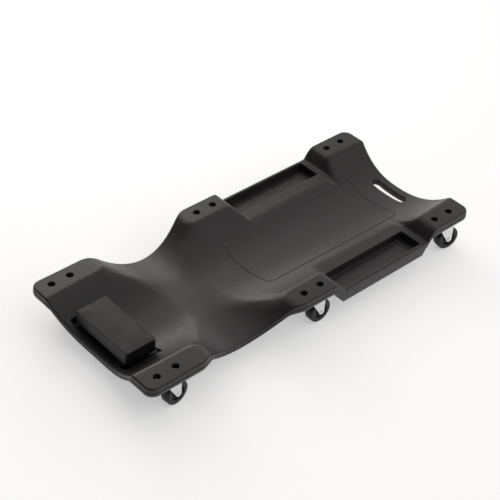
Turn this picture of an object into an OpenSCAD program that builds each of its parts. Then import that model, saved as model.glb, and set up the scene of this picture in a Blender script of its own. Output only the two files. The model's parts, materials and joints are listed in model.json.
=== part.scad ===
// Mechanic creeper: a blow-moulded lying board on six swivel casters, with a padded headrest.
// X runs from the head end to the foot end, Y across the board and Z up.
// The origin is on the floor, under the middle of the board.

/* [Board] */
// Overall length of the board
board_len = 1012; // [960:1:1080]
// Overall width of the board
board_w = 442; // [430:1:470]
// Distance between the two skins of the board
board_t = 18; // [15:0.5:21]
// Thickness of the pads that carry the casters
pad_t = 25; // [24:0.5:30]
// Width of a pad beside the middle casters
pad_w_mid = 61; // [58:0.5:66]
// Width of a pad at the two ends of the board
pad_w_end = 67; // [62:0.5:72]
// Plan radius of the four outer corners
corner_r = 24; // [16:1:34]
// Radius of the rounded rim, top and bottom
rim_r = 4.5; // [3:0.5:6]
// How far the head end curves in at its middle
head_curve = 19; // [0:1:30]
// How far the foot end curves in at its middle
foot_curve = 19; // [0:1:36]

/* [Lying surface] */
// Depth of the bowl under the head, below the pads
head_depth = 60; // [50:1:64]
// Depth of the surface at the waist
waist_depth = 41; // [36:1:50]
// Depth of the seat end of the surface
seat_depth = 49; // [40:1:54]
// Depth of the surface at the foot end
foot_depth = 51; // [38:1:56]
// How flat the middle of the surface is: 2 is a parabola
trough_power = 2.6; // [2:0.1:4]

/* [Arm scoops] */
// Distance from the head casters to where the scoop meets the head pad
scoop_from_head = 108; // [90:1:120]
// Distance from the middle casters to where the scoop meets the middle pad
scoop_from_mid = 73; // [66:1:90]
// Depth of the scoop at the board's side edge
scoop_edge_depth = 53.7; // [44:0.1:58]
// Depth of the scoop on the centre line
scoop_mid_depth = 43; // [40:0.5:50]
// How far the side edge runs in at the waist
waist_in = 36.5; // [20:0.5:46]
// Half the length over which the side edge runs in
waist_reach = 146; // [130:1:152]

/* [Tool trays] */
// Distance from the middle casters to the foot edge of the middle pads
tray_from_mid = 59; // [52:1:70]
// Distance from the foot casters to the foot end of a tray's ledge
tray_from_foot = 76; // [72:1:96]
// Depth of the ledge round a tray, below the pads
ledge_depth = 29; // [24:0.5:34]
// Depth of a tray below its ledge
tray_depth = 20; // [14:0.5:22]
// Width of a tray's opening
tray_w = 63; // [50:0.5:66]
// Width of the rim outside a tray
tray_rim = 9; // [7:0.5:12]
// Width of the ledge at the foot end of a tray
foot_ledge = 19; // [10:1:26]
// How far a tray's walls lean over their depth
tray_draft = 3; // [1:0.5:5]

/* [Handle slot] */
// Length of the handle slot
slot_len = 112; // [90:1:130]
// Width of the handle slot
slot_w = 23; // [18:0.5:28]
// Width of the grip bar between the slot and the foot edge
grip_w = 25; // [20:0.5:34]

/* [Headrest] */
// Length of the headrest across the board
rest_len = 184; // [160:1:200]
// Width of the headrest along the board
rest_w = 84; // [70:1:96]
// Thickness of the cushion at its edge
cushion_t = 27; // [20:0.5:30]
// Crown of the cushion's top over its edge
cushion_crown = 2; // [0.5:0.5:4]
// Plan radius of the cushion's corners
cushion_r = 6; // [3:0.5:14]
// How far the cushion's sides draw in between its corners
cushion_pull = 2; // [0:0.5:5]
// Thickness of the backing board
backing_t = 7; // [4:0.5:9]
// Distance from the board's head end to the middle of the headrest
rest_from_end = 77; // [70:1:100]
// Depth of the cushion's top edge, below the pads
rest_top_depth = 8; // [4:0.5:14]
// Gap between the headrest and the two sides of its bed, along the board
bed_gap_x = 8; // [3:0.5:12]
// Gap between the headrest and the two ends of its bed
bed_gap_y = 11; // [4:0.5:15]
// Height of the bed's floor above the bottom of the bowl
bed_rise = 10; // [6:0.5:14]

/* [Casters] */
// Distance from the board's head end to the head casters
head_caster_in = 66; // [60:1:80]
// Distance from the board's foot end to the foot casters
foot_caster_in = 75; // [70:1:84]
// Place of the middle casters along the board, from its middle
mid_caster_x = -11; // [-30:1:10]
// Distance from the board's side to the casters' swivel axes
caster_side_in = 30.5; // [28:0.5:34]
// Diameter of a wheel
wheel_d = 62; // [56:1:70]
// Width of a wheel
wheel_w = 23; // [18:0.5:26]
// Distance from the swivel axis to the wheel's axle
trail = 26; // [22:0.5:30]
// Gap between the top of the wheel and the fork
wheel_gap = 9.7; // [5:0.1:14]
// Thickness of the fork's pressed sheet
fork_t = 2.5; // [2:0.1:3]
// Thickness of the mounting plate
plate_t = 2.5; // [2:0.1:3.5]
// Length of the mounting plate
plate_len = 72; // [68:1:78]
// Width of the mounting plate
plate_w = 42; // [38:1:46]
// Distance between the two bolts of a plate
bolt_pitch = 51; // [48:0.5:54]
// Diameter of the axle rivet
axle_d = 8; // [6:0.5:9]
// Turn of each caster at rest, from straight back: head, middle and foot, right side
swing_head = 6; // [-30:1:30]
// Turn of the middle caster on the right side
swing_mid = 0; // [-30:1:30]
// Turn of the foot caster on the right side
swing_foot = -10; // [-30:1:30]

/* [Fasteners] */
// Diameter of a caster bolt
bolt_d = 6; // [5:0.5:6]
// Width across flats of the bolt heads and nuts
bolt_flats = 10; // [8:0.5:10.5]
// Diameter of the well over each bolt
well_d = 17.5; // [15:0.5:20]
// Depth of the well over each bolt
well_depth = 18; // [14:0.5:18.5]
// Diameter of a headrest screw
screw_d = 5; // [4:0.5:6]
// Distance between the two screws of a headrest seat
screw_pitch = 30; // [24:1:40]

/* [Hidden] */
CORNERS = ["head_left", "head_right", "mid_left", "mid_right", "foot_left", "foot_right"];
$fn = 48;

// Colours
PLASTIC = [0.17, 0.165, 0.165];
VINYL = [0.1, 0.1, 0.1];
ZINC = [0.78, 0.8, 0.8];
WHEEL = [0.07, 0.07, 0.07];
BACKING = [0.08, 0.08, 0.08];

// Clearances
run_gap = 0.05;
seat_gap = 0.02;
side_gap = 0.7;
bolt_gap = 0.3;
end_gap = 0.1;
// How far a cut runs past the face that it opens
cut = 1;

// Caster stack, from the floor up
axle_z = wheel_d / 2;
race_gap = 3;
crown_rise = 2.3;
arm_z = wheel_d + wheel_gap;
crown_z = arm_z + crown_rise;
crown_top_z = crown_z + fork_t;
plate_z = crown_top_z + race_gap;
caster_h = plate_z + plate_t;
pad_top = caster_h + pad_t;

// Fork
leg_gap = wheel_w + 2 * side_gap;
leg_t = 2;
leg_rim = 0.8;
rim_w = 2.6;
boss_rim = 3.5;
boss_r = axle_d / 2 + boss_rim;
bolt_head_gap = 1.2;
crown_r = bolt_pitch / 2 - bolt_flats / 2 / cos(30) - bolt_head_gap;
lip_t = 1.5;
lip_h = race_gap - 0.8;
crown_wall_gap = 2;
arm_front = -9;

// King pin and ball race
king_r = 5;
king_head_r = 9;
king_head_t = 2.5;
ball_d = race_gap + 1;
race_r = 13;
ball_n = 12;
washer_r = 11.5;
washer_t = 1.6;
peen_r = 8;
peen_t = 2;
peen_taper = 1.5;
relief_gap = 3;
relief_over = 1.5;
relief_r = king_head_r + relief_gap;
relief_depth = king_head_t + relief_over;

// Bolts
bolt_washer_t = 1.5;
bolt_washer_gap = 1.25;
nut_t = 5;
head_t = 4;
bolt_over = 1.5;
well_z = pad_top - well_depth;
plate_r = 6;

// Wheel
hub_r = 10;
tyre_t = 12.4;
web_r = wheel_d / 2 - tyre_t;
web_in = 5;
sleeve_t = 2;
sleeve_r = axle_d / 2 + sleeve_t;
tread_r = 3;
rivet_head_over = 1.5;
rivet_head_r = axle_d / 2 + rivet_head_over;
rivet_head_t = 1;
rivet_taper = 0.8;

// Places along the board
head_x = -board_len / 2 + head_caster_in;
foot_x = board_len / 2 - foot_caster_in;
caster_x = [head_x, head_x, mid_caster_x, mid_caster_x, foot_x, foot_x];
caster_y = board_w / 2 - caster_side_in;
swing = [-swing_head, swing_head, -swing_mid, swing_mid, -swing_foot, swing_foot];
scoop_x0 = head_x + scoop_from_head;
scoop_x1 = mid_caster_x - scoop_from_mid;
scoop_x = (scoop_x0 + scoop_x1) / 2;
scoop_half = (scoop_x1 - scoop_x0) / 2;
seat_end = 46;
seat_x = foot_x - seat_end;
bowl_end = 30;
bowl_x = head_x + bowl_end;

// Tray planes
face_slope = 1.19;
foot_slope = 1.55;
pad_edge_x = mid_caster_x + tray_from_mid;
ledge_x0 = pad_edge_x + ledge_depth / face_slope;
ledge_x1 = foot_x - tray_from_foot;
floor_depth = ledge_depth + tray_depth;
floor_x0 = ledge_x0 + tray_depth / face_slope;
tray_x1 = ledge_x1 - foot_ledge;
floor_x1 = tray_x1 - tray_draft;
tray_out = board_w / 2 - tray_rim;
tray_in = tray_out - tray_w;
wall_slope = tray_depth / tray_draft;
shell_t = 17;
shell_depth = floor_depth + shell_t;
shell_back = 22;
shell_wall = 4;
shell_over = 5;
shell_x0 = pad_edge_x + shell_back;
shell_x1 = tray_x1 + shell_over;
shell_in = tray_in - shell_wall;
shell_slope = 1.17;
shell_foot_slope = 1.8;
// The underside of a middle pad is flat between these two places
pad_flat_gap = 7;
pad_flat_x0 = mid_caster_x - plate_len / 2 - pad_flat_gap;
pad_flat_x1 = shell_x0 - (shell_depth - pad_t) / shell_slope;

// How softly the surfaces run into each other, as a height
waist_soft = 6;
pad_soft = 3;
scoop_soft = 12;
corner_soft = 30;
corner_fade = 30;
ledge_soft = 4;
face_soft = 9;
ramp_soft = 22;
ramp_run = 24;
skin_run = 12;

// Headrest
rest_x = -board_len / 2 + rest_from_end;
cushion_z = pad_top - rest_top_depth - cushion_t;
backing_z = cushion_z - backing_t;
backing_in = 2;
bed_r = 3;
seat_y = 58;
seat_len = 52;
seat_w = 22;
screw_head_r = screw_d;
screw_head_t = 3;
screw_sink = 4;
screw_end = 1;
// The cushion's rounded edge, the points along each side, and the rings of its crown
edge_r = 2;
side_points = 6;
corner_points = 5;
ring_points = 4 * (corner_points + side_points);
crown_rings = [0.86, 0.65, 0.35];

// Number helpers
function mix(a, b, t) = a + (b - a) * t;
function clamp01(t) = max(0, min(1, t));
function ease(t) = clamp01(t) * clamp01(t) * (3 - 2 * clamp01(t));
function soft_min(a, b, k) = let (h = max(k - abs(a - b), 0) / k) min(a, b) - h * h * k / 4;
function rounded(d, r) = d >= r ? 0 : r - sqrt(max(0, r * r - (r - d) * (r - d)));

// Board plan: half width at x, before the ends are curved
function corner_in(d) = rounded(d, corner_r);
function waist_w(x) = let (t = (x - scoop_x) / waist_reach) board_w / 2 - waist_in * (1 - t * t);
function half_w(x) =
    soft_min(board_w / 2, waist_w(x), waist_soft) - corner_in(board_len / 2 - abs(x));

// Board heights, measured from the pad tops
function pad_in(x) = board_w / 2 - mix(pad_w_mid, pad_w_end, pow(abs(2 * x / board_len), 4));
function depth(x) =
    x < scoop_x ? mix(head_depth, waist_depth, ease((x - bowl_x) / (scoop_x - bowl_x)))
    : x < seat_x ? mix(waist_depth, seat_depth, ease((x - scoop_x) / (seat_x - scoop_x)))
    : mix(seat_depth, foot_depth, ease((x - seat_x) / (board_len / 2 - seat_x)));
function trough(x, y) = -depth(x) * (1 - pow(abs(y) / pad_in(x), trough_power));
function scoop(x, y) =
    let (t = (x - scoop_x) / scoop_half, s = pow(abs(y) / (board_w / 2 - waist_in), 1.5))
    scoop_edge_depth * t * t - mix(scoop_mid_depth, scoop_edge_depth, s);
function corner_join(z) = mix(scoop_soft, corner_soft, ease(1 + z / corner_fade));
function body_top(x, y) = let (t = trough(x, y), s = scoop(x, y)) min(
    soft_min(soft_min(t, 0, pad_soft), s, scoop_soft),
    soft_min(t, s, corner_join(max(t, s)))
);
function face_top(x) = -ledge_depth + (ledge_x0 - x) * face_slope;
function ledge_top(x) = max(-ledge_depth, face_top(x), (x - ledge_x1) * foot_slope - ledge_depth);
function face_join(z) = mix(ledge_soft, face_soft, ease(1 + z / ledge_depth));
function shelf_top(x, y) = let (b = body_top(x, y))
    soft_min(b, ledge_top(x), mix(face_join(b), ramp_soft, ease((x - tray_x1) / ramp_run)));
function pocket_top(x, y) = max(
    -floor_depth,
    face_top(x),
    (x - floor_x1) * wall_slope - floor_depth,
    (tray_in + tray_draft - abs(y)) * wall_slope - floor_depth,
    (abs(y) - tray_out + tray_draft) * wall_slope - floor_depth
);
function top_z(x, y) = min(shelf_top(x, y), pocket_top(x, y));
function shell_bottom(x, y) = -shell_depth + max(
    0,
    (shell_x0 - x) * shell_slope,
    (x - shell_x1) * shell_foot_slope,
    (shell_in - abs(y)) * shell_slope
);
function skin_bottom(z) = z - mix(board_t, pad_t, ease(1 + z / skin_run));
function bottom_z(x, y) = min(skin_bottom(shelf_top(x, y)), shell_bottom(x, y));

// Grid lines of the board: close together where the surface turns
function spread(a, b, n) = [for (i = [0:n - 1]) mix(a, b, i / n)];
RIM = [0, 0.12, 0.45, 1];
corner_step = 0.45;
scoop_step = 8;
ramp_len = 46;
pad_step = 9;
row_step = 30;
x_lines = concat(
    [for (r = RIM) -board_len / 2 + r * rim_r],
    [-board_len / 2 + corner_step * corner_r],
    spread(-board_len / 2 + corner_r, scoop_x0 - 2 * scoop_step, 5),
    spread(scoop_x0 - 2 * scoop_step, scoop_x1 + scoop_step, 17),
    [scoop_x1 + scoop_step],
    spread(pad_flat_x0, pad_flat_x1, 2),
    [pad_flat_x1],
    spread(pad_edge_x, ledge_x0, 2),
    spread(ledge_x0, floor_x0, 1),
    spread(floor_x0, floor_x1, 5),
    [floor_x1, tray_x1],
    spread(ledge_x1, ledge_x1 + ramp_len, 7),
    spread(ledge_x1 + ramp_len, board_len / 2 - corner_r, 4),
    [board_len / 2 - corner_r, board_len / 2 - corner_step * corner_r],
    [for (i = [3:-1:0]) board_len / 2 - RIM[i] * rim_r]
);
y_half = concat(
    spread(0, tray_in - row_step, 6),
    spread(tray_in - row_step, tray_in, 2),
    [tray_in, tray_in + tray_draft],
    [for (i = [0:1]) pad_in(mid_caster_x) + i * pad_step],
    spread(pad_in(mid_caster_x) + 2 * pad_step, tray_out - tray_draft, 2),
    [tray_out - tray_draft, tray_out],
    [for (i = [3:-1:0]) board_w / 2 - RIM[i] * rim_r]
);
ny = len(y_half);
y_lines = [for (j = [1 - ny:ny - 1]) sign(j) * y_half[abs(j)]];

// Plan place of a grid node, with the ends curved
curve_reach = 110;
function end_in(x, y) = let (
        u = clamp01(abs(y) / pad_in(board_len / 2)),
        fade = clamp01(1 - (board_len / 2 - abs(x)) / curve_reach)
    )
    (x < 0 ? head_curve : -foot_curve) * (1 - u * u) * fade;
function side_y(x, y) = y * half_w(x) * 2 / board_w;
function rim_drop(x, y) =
    let (d = min(board_w / 2 - abs(y), board_len / 2 - abs(x))) rounded(d, rim_r);
function top_node(x, y) =
    let (py = side_y(x, y), px = x + end_in(x, py))
    [px, py, pad_top + top_z(px, py) - rim_drop(x, y)];
function bottom_node(x, y) =
    let (py = side_y(x, y), px = x + end_in(x, py))
    [px, py, pad_top + bottom_z(px, py) + rim_drop(x, y)];

module board_shell() {
    nx = len(x_lines);
    my = len(y_lines);
    half = nx * my;
    points = concat(
        [for (x = x_lines) for (y = y_lines) top_node(x, y)],
        [for (x = x_lines) for (y = y_lines) bottom_node(x, y)]
    );
    function at(i, j) = i * my + j;
    // Each cell is cut along the diagonal that lies closer to the surface at its middle
    function cell(i, j, o) = let (
        a = at(i, j) + o,
        b = at(i + 1, j) + o,
        x = (x_lines[i] + x_lines[i + 1]) / 2,
        y = (y_lines[j] + y_lines[j + 1]) / 2,
        middle = 2 * (o == 0 ? top_node(x, y) : bottom_node(x, y))[2],
        rise = abs(points[a][2] + points[b + 1][2] - middle),
        fall = abs(points[a + 1][2] + points[b][2] - middle)
    )
    rise < fall ? [[a, a + 1, b + 1], [a, b + 1, b]] : [[a, a + 1, b], [a + 1, b + 1, b]];
    function flip(t) = [t[2], t[1], t[0]];
    top = [for (i = [0:nx - 2]) for (j = [0:my - 2]) for (t = cell(i, j, 0)) t];
    bottom = [for (i = [0:nx - 2]) for (j = [0:my - 2]) for (t = cell(i, j, half)) flip(t)];
    function wall(a, b) = [[a, b, b + half], [a, b + half, a + half]];
    ends = [for (j = [0:my - 2]) for (t = concat(
        wall(at(0, j + 1), at(0, j)), wall(at(nx - 1, j), at(nx - 1, j + 1)))) t];
    sides = [for (i = [0:nx - 2]) for (t = concat(
        wall(at(i, 0), at(i + 1, 0)), wall(at(i + 1, my - 1), at(i, my - 1)))) t];
    polyhedron(points, concat(top, bottom, ends, sides));
}

// Two raised seats in the head bowl, on which the backing board is screwed
module headrest_seats() {
    for (s = [-1, 1]) {
        foot = pad_top + top_z(rest_x, s * seat_y) - board_t / 2;
        translate([rest_x, s * seat_y, foot]) linear_extrude(backing_z - foot) stadium(seat_len, seat_w);
    }
}

module stadium(length, width) {
    square([length - width, width], center = true);
    for (s = [-1, 1]) translate([s * (length - width) / 2, 0]) circle(d = width);
}

module at_screws() {
    for (s = [-1, 1]) for (t = [-1, 1])
        translate([rest_x + t * screw_pitch / 2, s * seat_y, 0]) children();
}

module at_bolts() {
    for (i = [0:5]) for (t = [-1, 1])
        translate([caster_x[i] + t * bolt_pitch / 2, side(i) * caster_y, 0]) children();
}

function side(i) = i % 2 == 0 ? 1 : -1;
function screw_floor() = pad_top + bottom_z(rest_x, seat_y);

// The grip slot follows the curve of the foot end
module handle_slot() {
    u = pad_in(board_len / 2);
    arc_r = u * u / foot_curve / 2 + grip_w + slot_w / 2;
    mid_x = board_len / 2 - foot_curve - grip_w - slot_w / 2;
    turn = (slot_len - slot_w) / 2 / arc_r * 180 / PI;
    low = pad_top - floor_depth - 2 * board_t;
    tall = floor_depth + 3 * board_t;
    translate([mid_x + arc_r, 0, low]) {
        intersection() {
            difference() {
                cylinder(r = arc_r + slot_w / 2, h = tall, $fn = 180);
                translate([0, 0, -cut]) cylinder(r = arc_r - slot_w / 2, h = tall + 2 * cut, $fn = 180);
            }
            linear_extrude(tall) polygon([
                [0, 0],
                [-2 * arc_r * cos(turn), 2 * arc_r * sin(turn)],
                [-2 * arc_r * cos(turn), -2 * arc_r * sin(turn)]
            ]);
        }
        for (s = [-1, 1]) rotate(s * turn) translate([-arc_r, 0, 0]) cylinder(d = slot_w, h = tall);
    }
}

// Shallow pockets under the board, where the two skins are pinched together
pinch_d = 24;
pinch_depth = 10;
pinch_x = [-116, -24, 68, 160, 252];
pinch_y = 44;

module skin_pinches() {
    for (x = pinch_x) for (s = [-1, 1]) {
        z = pad_top + bottom_z(x, pinch_y);
        translate([x, s * pinch_y, z - board_t]) cylinder(d = pinch_d, h = board_t + pinch_depth);
    }
}

// The bed is cut flat into the bowl's two sides, so that the headrest stands in it
module headrest_bed() {
    translate([rest_x, 0, min(pad_top - head_depth + bed_rise, backing_z)]) linear_extrude(pad_top)
        rounded_plate(rest_w + 2 * bed_gap_x, rest_len + 2 * bed_gap_y, bed_r);
}

module deck() {
    color(PLASTIC) difference() {
        union() {
            difference() {
                board_shell();
                headrest_bed();
            }
            headrest_seats();
        }
        at_bolts() {
            translate([0, 0, well_z]) cylinder(d = well_d, h = well_depth + cut);
            translate([0, 0, caster_h - cut]) cylinder(d = bolt_d + 2 * bolt_gap, h = pad_t);
        }
        for (i = [0:5]) at_caster(i) translate([0, 0, caster_h - cut])
            cylinder(r = relief_r, h = relief_depth + cut);
        at_screws() {
            translate([0, 0, screw_floor() - board_t])
                cylinder(r = screw_head_r + bolt_gap, h = board_t + screw_sink);
            translate([0, 0, screw_floor() - cut]) cylinder(d = screw_d + 2 * run_gap, h = pad_top);
        }
        handle_slot();
        skin_pinches();
    }
}

// Headrest cushion: rings of a rounded rectangle whose sides are drawn in
function dir(a) = [cos(a), sin(a)];
function ring_corner(q, hx, hy, r) = let (c = dir(90 * q + 45), s = [sign(c[0]), sign(c[1])])
    [for (k = [0:corner_points - 1])
        [s[0] * (hx - r), s[1] * (hy - r)] + r * dir(90 * (q + k / (corner_points - 1)))];
function ring_side(q, hx, hy, r) = let (
        from = ring_corner(q, hx, hy, r)[corner_points - 1],
        to = ring_corner((q + 1) % 4, hx, hy, r)[0],
        pull = 4 * cushion_pull * dir(90 * q + 90)
    )
    [for (i = [1:side_points]) let (f = i / (side_points + 1)) mix(from, to, f) - f * (1 - f) * pull];
function cushion_ring(inset, z) =
    let (hx = rest_w / 2 - inset, hy = rest_len / 2 - inset, r = max(cushion_r - inset, edge_r / 2))
    [for (q = [0:3]) for (p = concat(ring_corner(q, hx, hy, r), ring_side(q, hx, hy, r)))
        [p[0], p[1], z]];

module headrest_cushion() {
    n = ring_points;
    edge = [[edge_r, 0], [edge_r / 3, edge_r / 3], [0, edge_r]];
    rings = concat(
        [for (i = [0:2]) cushion_ring(edge[i][0], edge[i][1])],
        [for (i = [2:-1:0]) cushion_ring(edge[i][0], cushion_t - edge[i][1])],
        [for (f = crown_rings)
            cushion_ring(rest_w / 2 * (1 - f), cushion_t + cushion_crown * (1 - f * f))]
    );
    m = len(rings);
    points = concat([[0, 0, 0]], [for (r = rings) for (p = r) p], [[0, 0, cushion_t + cushion_crown]]);
    function v(i, k) = 1 + i * n + k % n;
    faces = concat(
        [for (k = [0:n - 1]) [0, v(0, k), v(0, k + 1)]],
        [for (i = [0:m - 2]) for (k = [0:n - 1]) for (t = [
            [v(i, k), v(i + 1, k), v(i + 1, k + 1)],
            [v(i, k), v(i + 1, k + 1), v(i, k + 1)]
        ]) t],
        [for (k = [0:n - 1]) [v(m - 1, k), 1 + m * n, v(m - 1, k + 1)]]
    );
    color(VINYL) translate([rest_x, 0, cushion_z]) polyhedron(points, faces);
}

module headrest_backing() {
    color(BACKING) translate([0, 0, backing_z]) difference() {
        translate([rest_x, 0, 0]) linear_extrude(backing_t)
            rounded_plate(rest_w - 2 * backing_in, rest_len - 2 * backing_in, plate_r);
        at_screws() translate([0, 0, -cut]) cylinder(d = screw_d + 2 * run_gap, h = backing_t + 2 * cut);
    }
}

module headrest_screws() {
    z = screw_floor() + screw_sink;
    color(ZINC) at_screws() {
        translate([0, 0, z - screw_head_t]) cylinder(r = screw_head_r, h = screw_head_t);
        translate([0, 0, z]) cylinder(d = screw_d, h = backing_z + backing_t - screw_end - z);
    }
}

module rounded_plate(length, width, r) {
    square([length - 2 * r, width], center = true);
    square([length, width - 2 * r], center = true);
    for (s = [-1, 1]) for (t = [-1, 1])
        translate([s * (length / 2 - r), t * (width / 2 - r)]) circle(r = r);
}

// Ball race, shared by the plate above and the fork below
module race_groove() {
    translate([0, 0, plate_z - race_gap / 2])
        rotate_extrude() translate([race_r, 0]) circle(r = ball_d / 2 + run_gap);
}

module at_caster(i) {
    translate([caster_x[i], side(i) * caster_y, 0]) children();
}

module at_fork(i) {
    at_caster(i) rotate(swing[i]) children();
}

module plate(i) {
    color(ZINC) at_caster(i) difference() {
        translate([0, 0, plate_z]) linear_extrude(plate_t) difference() {
            rounded_plate(plate_len, plate_w, plate_r);
            circle(r = king_r + seat_gap);
            for (s = [-1, 1]) translate([s * bolt_pitch / 2, 0]) circle(d = bolt_d + 2 * bolt_gap);
        }
        race_groove();
    }
}

module king_pins() {
    color(ZINC) for (i = [0:5]) at_caster(i) {
        low = crown_z - end_gap - washer_t - peen_t;
        translate([0, 0, caster_h]) cylinder(r = king_head_r, h = king_head_t);
        translate([0, 0, low]) cylinder(r = king_r, h = caster_h - low);
        translate([0, 0, low]) cylinder(r1 = peen_r - peen_taper, r2 = peen_r, h = peen_t);
    }
}

module king_pin_washers() {
    color(ZINC) for (i = [0:5]) at_caster(i) translate([0, 0, crown_z - end_gap - washer_t])
        linear_extrude(washer_t) difference() {
            circle(r = washer_r);
            circle(r = king_r + seat_gap);
        }
}

module swivel_balls() {
    color(ZINC) for (i = [0:5]) at_caster(i) for (k = [0:ball_n - 1])
        rotate(360 * k / ball_n) translate([race_r, 0, plate_z - race_gap / 2]) sphere(d = ball_d);
}

// Side view of a fork leg: a triangle that narrows to a round boss at the axle
function tangent_point(p, c, r) =
    let (d = norm(c - p), reach = sqrt(d * d - r * r), turn = asin(r / d), v = (c - p) / d)
    p + reach * [v[0] * cos(turn) + v[1] * sin(turn), v[1] * cos(turn) - v[0] * sin(turn)];

module leg_outline(front, top, boss, inset) {
    c = [trail, axle_z];
    p = [front, top];
    polygon([p, tangent_point(p, c, boss), c, [trail + boss, axle_z], [trail + boss, top]]);
    if (inset == 0) translate(c) circle(r = boss);
}

module leg() {
    wall = leg_t + leg_rim;
    rotate([90, 0, 0]) translate([0, 0, -leg_gap / 2 - wall]) difference() {
        linear_extrude(wall) difference() {
            leg_outline(arm_front, arm_z + fork_t, boss_r, 0);
            translate([trail, axle_z]) circle(d = axle_d + 2 * seat_gap);
        }
        translate([0, 0, -cut]) linear_extrude(leg_rim + cut) difference() {
            leg_outline(arm_front + 2 * rim_w, arm_z - rim_w, boss_r - rim_w, 1);
            translate([trail, axle_z]) circle(r = boss_r);
        }
    }
}

module fork(i) {
    color(ZINC) at_fork(i) {
        difference() {
            union() {
                translate([0, 0, arm_z]) cylinder(r = crown_r, h = crown_top_z - arm_z);
                translate([0, 0, crown_top_z]) cylinder(r = crown_r, h = lip_h);
                translate([0, 0, arm_z]) linear_extrude(fork_t) polygon([
                    [arm_front, -leg_gap / 2 - leg_t],
                    [trail + boss_r, -leg_gap / 2 - leg_t],
                    [trail + boss_r, leg_gap / 2 + leg_t],
                    [arm_front, leg_gap / 2 + leg_t]
                ]);
            }
            translate([0, 0, crown_top_z]) cylinder(r = crown_r - lip_t, h = lip_h + cut);
            translate([0, 0, arm_z - cut]) cylinder(r = washer_r + crown_wall_gap, h = crown_rise + cut);
            translate([0, 0, arm_z - cut]) cylinder(r = king_r + run_gap, h = plate_z - arm_z + cut);
            race_groove();
        }
        leg();
        mirror([0, 1, 0]) leg();
    }
}

module axle_rivet(i) {
    reach = leg_gap / 2 + leg_t + leg_rim;
    color(ZINC) at_fork(i) translate([trail, 0, axle_z]) rotate([90, 0, 0]) {
        cylinder(d = axle_d, h = 2 * reach, center = true);
        for (s = [-1, 1]) rotate([90 - s * 90, 0, 0]) translate([0, 0, reach])
            cylinder(r1 = rivet_head_r, r2 = rivet_head_r - rivet_taper, h = rivet_head_t);
    }
}

module axle_sleeve(i) {
    color(ZINC) at_fork(i) translate([trail, 0, axle_z]) rotate([90, 0, 0])
        linear_extrude(leg_gap - 2 * end_gap, center = true) difference() {
            circle(r = sleeve_r);
            circle(r = axle_d / 2 + seat_gap);
        }
}

module wheel(i) {
    r = wheel_d / 2;
    w = wheel_w / 2;
    color(WHEEL) at_fork(i) translate([trail, 0, axle_z]) rotate([90, 0, 0]) difference() {
        rotate_extrude($fn = 96) difference() {
            translate([0, -w]) square([r, wheel_w]);
            for (s = [-1, 1]) {
                translate([hub_r, s > 0 ? w - web_in : -w - cut]) square([web_r - hub_r, web_in + cut]);
                difference() {
                    translate([r - tread_r, s > 0 ? w - tread_r : -w - cut]) square(tread_r + cut);
                    translate([r - tread_r, s * (w - tread_r)]) circle(r = tread_r);
                }
            }
        }
        cylinder(r = sleeve_r + run_gap, h = wheel_w + 2 * cut, center = true);
    }
}

module hex(h) {
    cylinder(d = bolt_flats / cos(30), h = h, $fn = 6);
}

module caster_bolts() {
    top = well_z + bolt_washer_t + nut_t + bolt_over;
    color(ZINC) at_bolts() {
        translate([0, 0, plate_z - head_t]) hex(head_t);
        translate([0, 0, plate_z]) cylinder(d = bolt_d, h = top - plate_z);
    }
}

module bolt_washers() {
    color(ZINC) at_bolts() translate([0, 0, well_z]) linear_extrude(bolt_washer_t) difference() {
        circle(d = well_d - 2 * bolt_washer_gap);
        circle(d = bolt_d + 2 * run_gap);
    }
}

module bolt_nuts() {
    color(ZINC) at_bolts() translate([0, 0, well_z + bolt_washer_t]) difference() {
        hex(nut_t);
        translate([0, 0, -cut]) cylinder(d = bolt_d + 2 * run_gap, h = nut_t + 2 * cut);
    }
}

deck();
headrest_cushion();
headrest_backing();
headrest_screws();
king_pins();
king_pin_washers();
swivel_balls();
caster_bolts();
bolt_washers();
bolt_nuts();
for (i = [0:5]) {
    plate(i);
    fork(i);
    axle_rivet(i);
    axle_sleeve(i);
    wheel(i);
}
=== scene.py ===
"""Mechanic creeper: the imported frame, dressed with its moulded board, headrest and casters."""
import json
from math import ceil, cos, pi, radians, sin

import bmesh
import bpy
import numpy as np
from mathutils import Matrix, Vector


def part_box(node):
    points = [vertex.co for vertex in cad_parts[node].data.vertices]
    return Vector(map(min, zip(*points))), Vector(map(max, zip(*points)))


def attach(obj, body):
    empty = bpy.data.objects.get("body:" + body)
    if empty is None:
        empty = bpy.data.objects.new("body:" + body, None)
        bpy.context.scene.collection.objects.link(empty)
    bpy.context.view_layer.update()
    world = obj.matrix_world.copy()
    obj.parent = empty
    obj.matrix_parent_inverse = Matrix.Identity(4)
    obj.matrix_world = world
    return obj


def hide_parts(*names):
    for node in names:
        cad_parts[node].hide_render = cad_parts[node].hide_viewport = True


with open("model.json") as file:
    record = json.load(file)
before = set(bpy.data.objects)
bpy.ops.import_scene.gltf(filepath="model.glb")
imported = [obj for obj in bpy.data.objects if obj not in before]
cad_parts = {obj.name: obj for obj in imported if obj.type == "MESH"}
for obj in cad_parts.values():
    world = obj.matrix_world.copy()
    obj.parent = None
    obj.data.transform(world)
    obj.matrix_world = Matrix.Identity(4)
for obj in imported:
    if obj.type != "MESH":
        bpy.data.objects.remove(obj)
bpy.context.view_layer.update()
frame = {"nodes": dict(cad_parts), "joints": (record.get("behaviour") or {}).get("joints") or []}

MM = 0.001
CORNERS = ["head_left", "head_right", "mid_left", "mid_right", "foot_left", "foot_right"]


def box_mm(node):
    """Lowest and highest corner of a CAD node, in millimetres."""
    low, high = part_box(node)
    return np.array(low) / MM, np.array(high) / MM


def joint(name):
    return next(j for j in frame["joints"] if j["name"] == name)


def joint_mm(name):
    return np.array(joint(name)["pos_m"]) / MM


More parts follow.
